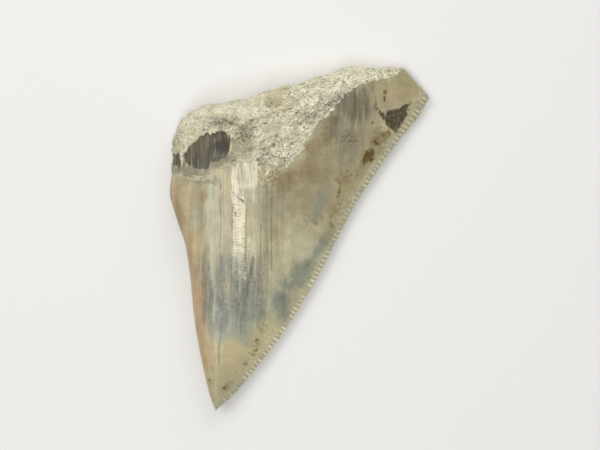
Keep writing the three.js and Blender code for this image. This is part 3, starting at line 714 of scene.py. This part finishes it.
def raise_relief(base, normals, masks):
    """Moves each point for the root's lumps and pores, the dark patch and the serrations."""
    root = smoothstep(masks["root"], -0.3, 1.6) * (1 - 0.85 * masks["band"])
    patch = smoothstep(masks["patch"], -0.5, 0.5) * (normals[:, 2] > 0)
    lumps = layered_noise(base, ROOT_LUMPS) + FIBRE_HEIGHT * masks["fibre"]
    pits = CREVICE_DEPTH * masks["crevice"] + PORE_DEPTH * masks["pore"]
    rough = root * (ROOT_STEP + lumps - pits)
    boss = np.exp(-ellipse_radius(base, *BOSS, 0) ** 2) * np.maximum(normals[:, 2], 0) * BOSS_HEIGHT
    sunk = patch * (layered_noise(base, PATCH_GROOVES) - PATCH_DEPTH)
    waves = (1 - root) * layered_noise(base, ENAMEL_WAVES)
    ribs = np.exp(-((masks["edge"] / RIB_LENGTH) ** 2)) * RIB_DEPTH * (masks["rib"] - 1)
    moved = base + normals * (rough * (1 - patch) + boss + sunk + waves)[:, None]
    moved[:, 2] += ribs * np.sign(normals[:, 2])
    return moved


def push_serrations(base, masks):
    """Moves the points beside the cutting edge outward into rounded teeth."""
    edge = cutting_edge_line()
    _, along = distance_to_line(base[:, :2], edge)
    steps = np.diff(edge, axis=0)
    reached = np.cumsum(np.linalg.norm(steps, axis=1))
    step = steps[np.clip(np.searchsorted(reached, along), 0, len(steps) - 1)]
    outward = np.stack([step[:, 1], -step[:, 0]], 1) / np.linalg.norm(step, axis=1)[:, None]
    push = SERRATION_REACH * masks["rib"] * (1 - smoothstep(masks["edge"], 0, SERRATION_FOOT))
    base[:, :2] += outward * push[:, None]
    return base


def new_mesh(points, faces):
    mesh = bpy.data.meshes.new("tooth_surface")
    mesh.from_pydata(points, [], faces)
    mesh.shade_smooth()
    return mesh


def vertex_normals(mesh):
    normals = np.empty(3 * len(mesh.vertices))
    mesh.vertex_normals.foreach_get("vector", normals)
    return normals.reshape(-1, 3)


def surface_masks(points, normals):
    """Everything that the relief and the material read from the surface, by name."""
    faces_up = normals[:, 2] > -0.05
    edge, rib = serration_profile(points)
    masks = {
        "edge": edge,
        "rib": rib,
        "root": root_distance(points, faces_up),
        "patch": np.where(faces_up, patch_distance(points), -1.0),
        "pore": pores(points, PORE_SPACING, LARGEST_PORE, 51),
        "crevice": np.maximum(crevices(points, 0.95, 55), 0.7 * crevices(points, 0.5, 57)),
        "marks": np.maximum(blobs_mask(points, DARK_MARKS, "cloud", 76), stain_mask(points)) * faces_up,
        "freckles": blobs_mask(points, FRECKLES, "cloud", 77) * faces_up,
        "cluster": blobs_mask(points, SPECK_CLUSTERS, "cloud", 71),
        "dusky_and_shaded": blobs_mask(points, DUSKY_AND_SHADED_ROOT, "cloud", 72) * faces_up,
        "earth": blobs_mask(points, BROWN_ROOT, "cloud", 73) * faces_up,
        "pale_root": blobs_mask(points, PALE_ROOT, "cloud", 74),
        "deep": blobs_mask(points, DEEP_FLOOR, "cloud", 78),
        "bluish": blobs_mask(points, BLUISH_FLOOR, "cloud", 79),
        "band": blobs_mask(points, GREY_BAND, "cloud", 75) * faces_up,
        # Painted highlight along the crest
        "crest": crest_highlight_mask(points) * faces_up,
        "hairline": np.where(faces_up, nearest_line(points, HAIRLINES), FAR_AWAY),
        "vein": nearest_line(points, PATCH_VEINS),
        "cream_line": np.where(faces_up, nearest_line(points, CREAM_LINES), FAR_AWAY),
        "fibre": fibres(points),
    }
    for seed, (name, (_, kind, blobs)) in enumerate(ZONES.items()):
        top = blobs_mask(points, blobs, kind, 100 + 5 * seed)
        under = blobs_mask(points, UNDER_ZONES.get(name, ()), kind, 200 + 5 * seed)
        masks[name] = np.where(faces_up, top, under)
    return masks


def centred(points):
    """Moves the mesh so that its box stands where the CAD model's box stands."""
    low, high = points.min(axis=0), points.max(axis=0)
    shift = -(low + high) / 2
    shift[2] = -low[2]
    return points + shift, shift


def build_tooth():
    grid, faces = tooth_grid()
    s, w, upper, turn = grid.T
    base = surface_point(s, w, upper > 0.5, turn)
    mesh = new_mesh(base, faces)
    masks = surface_masks(base, vertex_normals(mesh))
    base = push_serrations(base, masks)
    moved = raise_relief(base, vertex_normals(mesh), masks)
    moved[:, 2] = np.maximum(moved[:, 2], 0)
    moved, shift = centred(moved)
    mesh.vertices.foreach_set("co", (moved * MM).ravel())
    for name, values in masks.items():
        mesh.attributes.new(name, "FLOAT", "POINT").data.foreach_set("value", values)
    mesh.update()
    tooth = bpy.data.objects.new("fossil_tooth", mesh)
    bpy.context.scene.collection.objects.link(tooth)
    return tooth, shift


# Material nodes

class Nodes:
    """Short names for the nodes of one material."""

    def __init__(self, material):
        self.tree = material.node_tree
        self.object_mm = self.scaled(self.add("ShaderNodeTexCoord").outputs["Object"], (1 / MM,) * 3)

    def add(self, kind, **settings):
        node = self.tree.nodes.new(kind)
        for name, value in settings.items():
            setattr(node, name, value)
        return node

    def feed(self, socket, value):
        if isinstance(value, bpy.types.NodeSocket):
            self.tree.links.new(value, socket)
        elif isinstance(value, tuple) and len(value) == 3 and socket.type == "RGBA":
            socket.default_value = (*value, 1.0)
        else:
            socket.default_value = value

    def scaled(self, vector, scale):
        node = self.add("ShaderNodeMapping", vector_type="POINT")
        self.feed(node.inputs["Vector"], vector)
        self.feed(node.inputs["Scale"], scale)
        return node.outputs["Vector"]

    def position_x(self):
        return self.position().outputs["X"]

    def position_y(self):
        return self.position().outputs["Y"]

    def position(self):
        node = self.add("ShaderNodeSeparateXYZ")
        self.feed(node.inputs["Vector"], self.object_mm)
        return node

    def attribute(self, name):
        return self.add("ShaderNodeAttribute", attribute_name=name).outputs["Fac"]

    def noise(self, size, detail, distortion=0.0):
        """Noise from 0 to 1 whose lumps are size millimetres across; size may differ by axis."""
        sizes = size if isinstance(size, tuple) else (size,) * 3
        node = self.add("ShaderNodeTexNoise")
        self.feed(node.inputs["Vector"], self.scaled(self.object_mm, tuple(1 / v for v in sizes)))
        self.feed(node.inputs["Scale"], 1.0)
        self.feed(node.inputs["Detail"], detail)
        self.feed(node.inputs["Distortion"], distortion)
        return node.outputs["Fac"]

    def mottle(self, size, detail, low=0.0, high=1.0, half_range=0.2):
        """Noise whose middle range is stretched to run from low to high."""
        return self.ramp(self.noise(size, detail), 0.5 - half_range, 0.5 + half_range, low, high)

    def ramp(self, value, low, high, out_low=0.0, out_high=1.0):
        node = self.add("ShaderNodeMapRange", interpolation_type="SMOOTHSTEP")
        for name, given in zip(("Value", "From Min", "From Max", "To Min", "To Max"),
                               (value, low, high, out_low, out_high)):
            self.feed(node.inputs[name], given)
        return node.outputs["Result"]

    def math(self, operation, *values):
        node = self.add("ShaderNodeMath", operation=operation)
        for socket, value in zip(node.inputs, values):
            self.feed(socket, value)
        return node.outputs[0]

    def mix(self, share, a, b, blend="MIX"):
        node = self.add("ShaderNodeMix", data_type="RGBA", blend_type=blend)
        self.feed(node.inputs["Factor"], share)
        self.feed(node.inputs["A"], a)
        self.feed(node.inputs["B"], b)
        return node.outputs["Result"]

    def bump(self, height, distance_mm, normal=None):
        node = self.add("ShaderNodeBump")
        self.feed(node.inputs["Distance"], distance_mm * MM)
        self.feed(node.inputs["Height"], height)
        if normal is not None:
            self.feed(node.inputs["Normal"], normal)
        return node.outputs["Normal"]


def linear(colour):
    """The scene's linear value of a display colour."""
    return tuple(c / 12.92 if c <= 0.04045 else ((c + 0.055) / 1.055) ** 2.4 for c in colour)


def between(n, share, colours):
    """A mix of a pair of display colours."""
    return n.mix(share, linear(colours[0]), linear(colours[1]))


def enamel_colour(n):
    """Cream enamel with its zones of colour, clouded on the right and streaked upright on the left; some
    zones are painted sheen and painted shade, and the crest carries a painted highlight.
    """
    colour = linear(ENAMEL)
    for name, (tint, _, _) in ZONES.items():
        colour = n.mix(n.attribute(name), colour, linear(tint))
        if name == "yellow":
            colour = with_painted_crest_highlight(n, colour)
    clouds = n.mottle(1.8, 5.0, 0.91, 1.08)
    broad = n.mottle((0.8, 8.0, 8.0), 4.0, 0.87, 1.1)
    fine = n.mottle((0.22, 5.0, 5.0), 2.0, 0.94, 1.05)
    skin = n.mottle(0.32, 2.0, 0.95, 1.04)
    leftward = n.math("MULTIPLY", n.ramp(n.position_x(), 3.0, -6.0), n.ramp(n.position_y(), -17.0, -12.0))
    streaked = n.math("MAXIMUM", leftward, n.attribute("grey"))
    streaks = n.mix(n.ramp(streaked, 0.0, 1.0, 0.25, 1.0), (1.0, 1.0, 1.0), n.math("MULTIPLY", broad, fine))
    colour = n.mix(1.0, colour, streaks, "MULTIPLY")
    colour = n.mix(1.0, colour, n.math("MULTIPLY", clouds, skin), "MULTIPLY")
    colour = with_weave(n, colour)
    fading = n.mottle((0.6, 2.5, 2.5), 2.0, 0.08, -0.02)
    thinned = n.math("ADD", n.attribute("hairline"), fading)
    colour = n.mix(n.ramp(thinned, 0.22, 0.04, 0.0, 0.5), colour, linear(CRACK))
    colour = with_specks(n, colour, "freckles", 0.55, FRECKLE)
    return with_specks(n, colour, "marks", 0.45, DARK_MARK)


def with_weave(n, colour):
    """The blue zone's fine weave of upright dashes, dark and light, crossed by faint level lines."""
    blue = n.ramp(n.math("SUBTRACT", n.attribute("blue"), n.attribute("amber")), 0.1, 0.6)
    dark = n.ramp(n.noise((0.17, 1.0, 1.0), 2.0), 0.54, 0.68, 0.0, 0.5)
    colour = n.mix(n.math("MULTIPLY", dark, blue), colour, linear(WEAVE_DARK))
    light = n.ramp(n.noise((0.15, 1.6, 1.6), 2.0), 0.54, 0.68, 0.0, 0.42)
    colour = n.mix(n.math("MULTIPLY", light, blue), colour, linear(WEAVE_LIGHT))
    level = n.mottle((0.7, 0.14, 0.7), 2.0, 0.9, 1.09, 0.15)
    return n.mix(blue, colour, n.mix(1.0, colour, level, "MULTIPLY"))


def with_specks(n, colour, name, size, colours):
    """Specks that grow, darken and join where the mask is strong."""
    halo, core = (linear(speck) for speck in colours)
    crowded = n.math("MULTIPLY_ADD", n.attribute(name), 0.6, n.noise(size, 3.0))
    haloed = n.mix(n.ramp(crowded, 0.64, 0.96, 0.0, 0.8), colour, halo)
    lighter = n.ramp(n.noise(0.6, 4.0, 1.5), 0.42, 0.62, 0.95, 0.7)
    return n.mix(n.math("MULTIPLY", n.ramp(crowded, 0.86, 1.1), lighter), haloed, core)


def with_painted_crest_highlight(n, colour):
    """Painted highlight along the crest: pale upright streaks above, which break into fine level lines of
    painted glints below.
    """
    above = n.ramp(n.position_y(), 4.5, 7.0)
    below = n.math("SUBTRACT", 1.0, above)
    upright = n.math("MULTIPLY", n.noise((0.25, 2.2, 2.2), 2.0), above)
    level = n.math("MULTIPLY", n.noise((0.8, 0.15, 0.8), 2.0), below)
    lines = n.math("MULTIPLY_ADD", n.attribute("crest"), 0.38, n.math("ADD", upright, level))
    on_crest = n.ramp(n.attribute("crest"), 0.05, 0.3)
    highlighted = n.math("MULTIPLY", n.ramp(lines, 0.62, 0.86, 0.0, 0.95), on_crest)
    downward = n.ramp(n.position_y(), -0.5, -4.0)
    return n.mix(highlighted, colour, between(n, downward, CREST_HIGHLIGHT_DOWNWARD))


def with_pale_edge(n, colour):
    """The cutting edge's pale, grainy margin; towards the tip each serration's bead is lighter with painted
    highlight, and the notch beside it darker with painted shade.
    """
    dulled_at_tip = n.ramp(n.position_y(), -23.0, -16.0, 0.35, 1.0)
    tipward = n.math("MULTIPLY", n.ramp(n.position_y(), 0.0, -9.0), dulled_at_tip)
    bead_highlight = between(n, tipward, BEAD_HIGHLIGHT_TIPWARD)
    notch_shade = between(n, tipward, GAP_SHADE_TIPWARD)
    ridge = n.math("MULTIPLY_ADD", n.noise(0.3, 2.0), 0.5, n.attribute("rib"))
    serrated = n.mix(n.ramp(ridge, 0.55, 0.95), notch_shade, bead_highlight)
    band = between(n, tipward, EDGE_BAND_TIPWARD)
    band = n.mix(1.0, band, n.mottle(0.3, 3.0, 0.78, 1.16, 0.15), "MULTIPLY")
    band = n.mix(n.math("MULTIPLY", n.attribute("slate"), 0.85), band, colour)
    ragged = n.math("MULTIPLY_ADD", n.noise(0.4, 2.0), 0.8, n.attribute("edge"))
    margin = n.mix(n.ramp(ragged, 1.2, 0.8), band, serrated)
    uneven = n.mottle(0.6, 3.0, 0.6, 1.4)
    reach = n.mottle(4.0, 1.0, 0.6, 1.15, 0.15)
    widened = n.math("MULTIPLY", reach, n.ramp(tipward, 0.0, 1.0, 1.0, 0.75))
    frayed = n.math("MULTIPLY", n.math("MULTIPLY", n.attribute("edge"), uneven), widened)
    clear_of_marks = n.math("MULTIPLY_ADD", n.attribute("marks"), -0.7, 1.0)
    reached = n.math("MULTIPLY", n.ramp(frayed, 1.4, 0.5, 0.0, 0.92), clear_of_marks)
    return n.mix(reached, colour, margin)


def root_colour(n):
    """Pale dry grains, brightest towards the corner, with dark specks between them; painted shade in the
    crevices, the pores and at the left rim, and a painted highlight along the broken top.
    """
    broad = n.mottle(1.9, 5.0, half_range=0.15)
    pale = between(n, broad, ROOT_GRAINS)
    # The pale mix includes painted highlight along the broken top
    pale = n.mix(n.math("MULTIPLY", n.attribute("pale_root"), 0.8), pale, linear(ROOT_PALE))
    cornerward = n.ramp(n.position_x(), -10.0, 2.0)
    bright = n.ramp(n.math("MULTIPLY_ADD", cornerward, 0.06, n.noise(0.4, 3.0)), 0.53, 0.62)
    bright = n.math("MULTIPLY", bright, n.ramp(cornerward, 0.0, 1.0, 0.45, 1.0))
    flecked = n.mix(bright, pale, linear(ROOT_FLECK))
    earthy = n.mix(n.attribute("earth"), flecked, linear(ROOT_BROWN))
    cluster = n.attribute("cluster")
    # This mix darkens the dull grey parts of the root and paints shade at its left rim
    dusky_and_shaded = n.mix(n.math("MULTIPLY", n.attribute("dusky_and_shaded"), 0.8), earthy, linear(ROOT_DUSKY_AND_SHADE))
    greyed = n.mix(n.math("MULTIPLY", cluster, 0.45), dusky_and_shaded, linear(ROOT_GREY))
    grainy = n.mix(1.0, greyed, n.mottle(0.26, 3.0, 0.88, 1.08), "MULTIPLY")
    fibrous = n.math("MULTIPLY", n.attribute("fibre"), n.ramp(cornerward, 0.0, 1.0, 0.3, 1.0))
    grainy = n.mix(1.0, grainy, n.ramp(fibrous, -0.7, 0.7, 0.86, 1.1), "MULTIPLY")
    soft_pits = n.ramp(n.noise(0.42, 3.0), 0.5, 0.36, 0.0, 0.42)
    grainy = n.mix(soft_pits, grainy, linear(ROOT_PIT))
    scattered = n.math("MULTIPLY_ADD", cornerward, -0.035, n.noise(0.34, 3.0))
    clumped = n.math("MULTIPLY_ADD", n.noise(1.4, 2.0), 0.22, scattered)
    specks = n.ramp(n.math("MULTIPLY_ADD", cluster, -0.13, clumped), 0.5, 0.43)
    # Darkening in the crevices and pores is painted shade added to the real hollows; the specks are the
    # root's own dark grains
    cracks = n.math("MULTIPLY", n.attribute("crevice"), 0.35)
    dark = n.math("MAXIMUM", cracks, n.math("MULTIPLY", specks, 0.75))
    dark = n.math("MAXIMUM", dark, n.math("MULTIPLY", n.attribute("pore"), 0.7))
    dark = n.math("MULTIPLY", dark, n.ramp(n.attribute("pale_root"), 0.0, 1.0, 1.0, 0.5))
    speckled = n.mix(dark, grainy, linear(ROOT_SPECK))
    band = between(n, n.noise((1.4, 0.3, 0.3), 3.0), LEDGE_STREAKS)
    return n.mix(n.math("MULTIPLY", n.attribute("band"), 0.85), speckled, band)


def patch_colour(n):
    """Smooth dark floor with upright streaks and pale veins, bluish below and darkest at its right."""
    streaks = n.mottle((0.26, 6.0, 6.0), 3.0)
    brown = between(n, streaks, PATCH_STREAKS)
    bluish = between(n, streaks, PATCH_BLUISH_STREAKS)
    floor = n.mix(n.attribute("bluish"), brown, bluish)
    floor = n.mix(n.math("MULTIPLY", n.attribute("deep"), 0.85), floor, linear(PATCH_DEEP))
    uneven = n.mottle(0.9, 2.0, 0.15, 0.65, 0.15)
    veined = n.math("MULTIPLY", n.ramp(n.attribute("vein"), 0.16, 0.03), uneven)
    return n.mix(veined, floor, linear(PATCH_VEIN))


def fossil_material():
    material = bpy.data.materials.new("fossil_enamel_and_root")
    material.use_nodes = True
    n = Nodes(material)
    shader = n.tree.nodes["Principled BSDF"]
    root = n.ramp(n.attribute("root"), -0.06, 0.1)
    patch = n.ramp(n.attribute("patch"), -0.1, 0.14)
    colour = with_pale_edge(n, enamel_colour(n))
    colour = n.mix(root, colour, root_colour(n))
    line = n.math("ADD", n.attribute("cream_line"), n.mottle(0.6, 2.0, -0.08, 0.12))
    colour = n.mix(n.ramp(line, 0.24, 0.08, 0.0, 0.6), colour, linear(LEDGE_CREAM))
    colour = n.mix(patch, colour, patch_colour(n))
    rough_root = n.math("MULTIPLY", root, n.math("SUBTRACT", 1.0, patch))
    grain = n.math("MULTIPLY", n.noise(0.24, 4.0), rough_root)
    streak = n.math("MULTIPLY", n.noise((0.25, 8.0, 8.0), 2.0), n.math("SUBTRACT", 1.0, rough_root))
    normal = n.bump(streak, 0.03, n.bump(grain, 0.22))
    over_root = n.ramp(rough_root, 0.0, 1.0, ENAMEL_ROUGHNESS, ROOT_ROUGHNESS)
    over_patch = n.ramp(patch, 0.0, 1.0, ENAMEL_ROUGHNESS, PATCH_ROUGHNESS)
    n.feed(shader.inputs["Base Color"], colour)
    n.feed(shader.inputs["Roughness"], n.math("MAXIMUM", over_root, over_patch))
    n.feed(shader.inputs["Normal"], normal)
    return material


# Floor, lights and camera

def plain_floor():
    bpy.ops.mesh.primitive_plane_add(size=FLOOR_SIZE * MM)
    floor = bpy.context.object
    floor.name = "floor"
    material = bpy.data.materials.new("floor")
    material.use_nodes = True
    shader = material.node_tree.nodes["Principled BSDF"]
    shader.inputs["Base Color"].default_value = FLOOR_COLOUR
    shader.inputs["Roughness"].default_value = FLOOR_ROUGHNESS
    floor.data.materials.append(material)


def area_light(name, place_mm, size_mm, power):
    """A soft rectangular light that faces the tooth."""
    data = bpy.data.lights.new(name, "AREA")
    data.shape = "RECTANGLE"
    data.size, data.size_y = (side * MM for side in size_mm)
    data.energy = power
    light = bpy.data.objects.new(name, data)
    light.location = [v * MM for v in place_mm]
    light.rotation_euler = (-light.location).to_track_quat("-Z", "Y").to_euler()
    bpy.context.scene.collection.objects.link(light)


def soft_world():
    world = bpy.data.worlds.new("soft")
    world.use_nodes = True
    background = world.node_tree.nodes["Background"]
    background.inputs["Color"].default_value = (1, 1, 1, 1)
    background.inputs["Strength"].default_value = WORLD_STRENGTH
    bpy.context.scene.world = world


def overhead_camera(shift):
    data = bpy.data.cameras.new("camera")
    data.sensor_width = SENSOR_WIDTH
    data.lens = SENSOR_WIDTH * (CAMERA_HEIGHT - SEAM_PLANE) / FRAME_WIDTH
    camera = bpy.data.objects.new("camera", data)
    x, y = FRAME_CENTRE[0] + shift[0], FRAME_CENTRE[1] + shift[1]
    camera.location = (x * MM, y * MM, CAMERA_HEIGHT * MM)
    bpy.context.scene.collection.objects.link(camera)
    bpy.context.scene.camera = camera


def main():
    tooth, shift = build_tooth()
    tooth.data.materials.append(fossil_material())
    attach(tooth, "root")
    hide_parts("tooth")
    plain_floor()
    for light in LIGHTS:
        area_light(*light)
    soft_world()
    overhead_camera(shift)
    bpy.context.scene.view_settings.view_transform = "Standard"


main()
